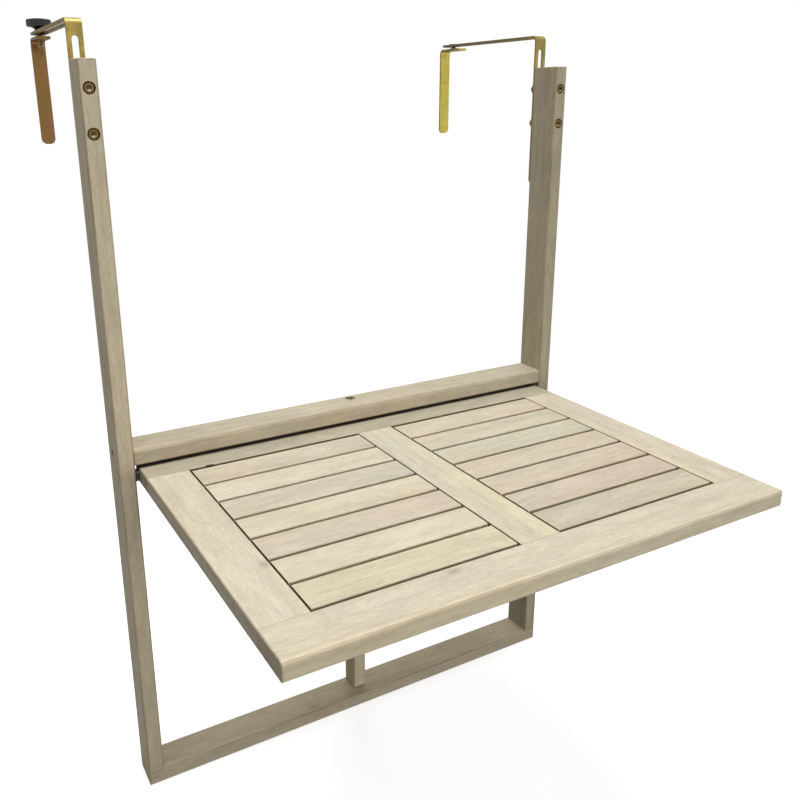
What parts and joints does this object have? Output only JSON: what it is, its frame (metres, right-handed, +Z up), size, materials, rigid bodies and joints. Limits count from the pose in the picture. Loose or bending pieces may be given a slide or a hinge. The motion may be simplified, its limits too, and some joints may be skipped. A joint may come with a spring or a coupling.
{
  "type": "hanging balcony table",
  "caption": "Wooden table that hooks over a balcony railing: slatted top held by a swinging bracket in a frame, with slotted steel hooks and sliding clamp jaws.",
  "frame": {"origin": "midway between the two hooks, where the undersides of their level legs meet the plane of the uprights' backs", "axes": "+X to the right seen from the front, +Y towards the railing, +Z up; the tabletop reaches out along -Y"},
  "size_m": [0.6049, 0.647, 0.8935],
  "materials": {
    "frame_wood": "whitewashed acacia",
    "top_wood": "whitewashed acacia",
    "dowel_wood": "plain beech",
    "zinc_steel": "yellow-passivated zinc",
    "plain_steel": "bright steel",
    "brass_insert": "plain brass",
    "knob_plastic": "moulded",
    "nylon": "moulded nylon"
  },
  "bodies": {
    "frame": {"left_upright": "frame_wood", "right_upright": "frame_wood", "bottom_rail": "frame_wood", "cross_rail": "top_wood", "frame_bolts": "zinc_steel", "frame_dowels": "dowel_wood", "hook_bolts": "zinc_steel", "hook_washers": "zinc_steel", "hook_nuts": "zinc_steel"},
    "tabletop": {"top_front_rail": "top_wood", "top_rear_rail": "top_wood", "top_left_stile": "top_wood", "top_right_stile": "top_wood", "top_mullion": "top_wood", "left_slat_1": "top_wood", "left_slat_2": "top_wood", "left_slat_3": "top_wood", "left_slat_4": "top_wood", "left_slat_5": "top_wood", "left_slat_6": "top_wood", "left_slat_7": "top_wood", "right_slat_1": "top_wood", "right_slat_2": "top_wood", "right_slat_3": "top_wood", "right_slat_4": "top_wood", "right_slat_5": "top_wood", "right_slat_6": "top_wood", "right_slat_7": "top_wood", "hinge_pins": "plain_steel", "hinge_spacers": "nylon"},
    "swing_bracket": {"bracket_post": "frame_wood", "bracket_arm": "frame_wood", "bracket_brace": "frame_wood", "bracket_pivot_bolts": "zinc_steel", "bracket_inserts": "brass_insert", "bracket_washers": "plain_steel", "bracket_screws": "zinc_steel"},
    "hook_left": {"left_hook": "zinc_steel"},
    "hook_right": {"right_hook": "zinc_steel"},
    "clamp_left": {"left_clamp_washer": "zinc_steel"},
    "jaw_left": {"left_jaw": "zinc_steel"},
    "jaw_right": {"right_jaw": "zinc_steel", "right_clamp_bolt": "zinc_steel", "right_clamp_washer": "zinc_steel", "right_clamp_nut": "zinc_steel"},
    "knob_left": {"left_knob": "knob_plastic", "left_clamp_bolt": "zinc_steel"}
  },
  "joints": [
    {"name": "top_lift", "type": "hinge", "parent": "frame", "child": "tabletop", "pos_m": [0, -0.0365, -0.467], "axis": [-1, 0, 0], "range_deg": [0, 29.5]},
    {"name": "bracket_swing", "type": "hinge", "parent": "frame", "child": "swing_bracket", "pos_m": [0, -0.01, -0.65], "axis": [0, 0, 1], "range_deg": [-90, 90]},
    {"name": "left_hook_height", "type": "slide", "parent": "frame", "child": "hook_left", "axis": [0, 0, 1], "range_m": [-0.045, 0.063]},
    {"name": "right_hook_height", "type": "slide", "parent": "frame", "child": "hook_right", "axis": [0, 0, 1], "range_m": [-0.045, 0.063]},
    {"name": "left_jaw_reach", "type": "slide", "parent": "hook_left", "child": "clamp_left", "axis": [0, 1, 0], "range_m": [-0.164, 0.002]},
    {"name": "right_jaw_reach", "type": "slide", "parent": "hook_right", "child": "jaw_right", "axis": [0, 1, 0], "range_m": [-0.164, 0.002]},
    {"name": "knob_turn", "type": "hinge", "parent": "clamp_left", "child": "knob_left", "pos_m": [-0.291, 0.197, 0.01], "axis": [0, 0, -1], "range_deg": [0, 1044]},
    {"name": "left_jaw_lift", "type": "slide", "parent": "clamp_left", "child": "jaw_left", "axis": [0, 0, 1], "range_m": [0, 0.0029]}
  ],
  "couplings": [
    {"joint": "knob_turn", "follows": "left_jaw_lift", "rad_per_m": 6283}
  ]
}
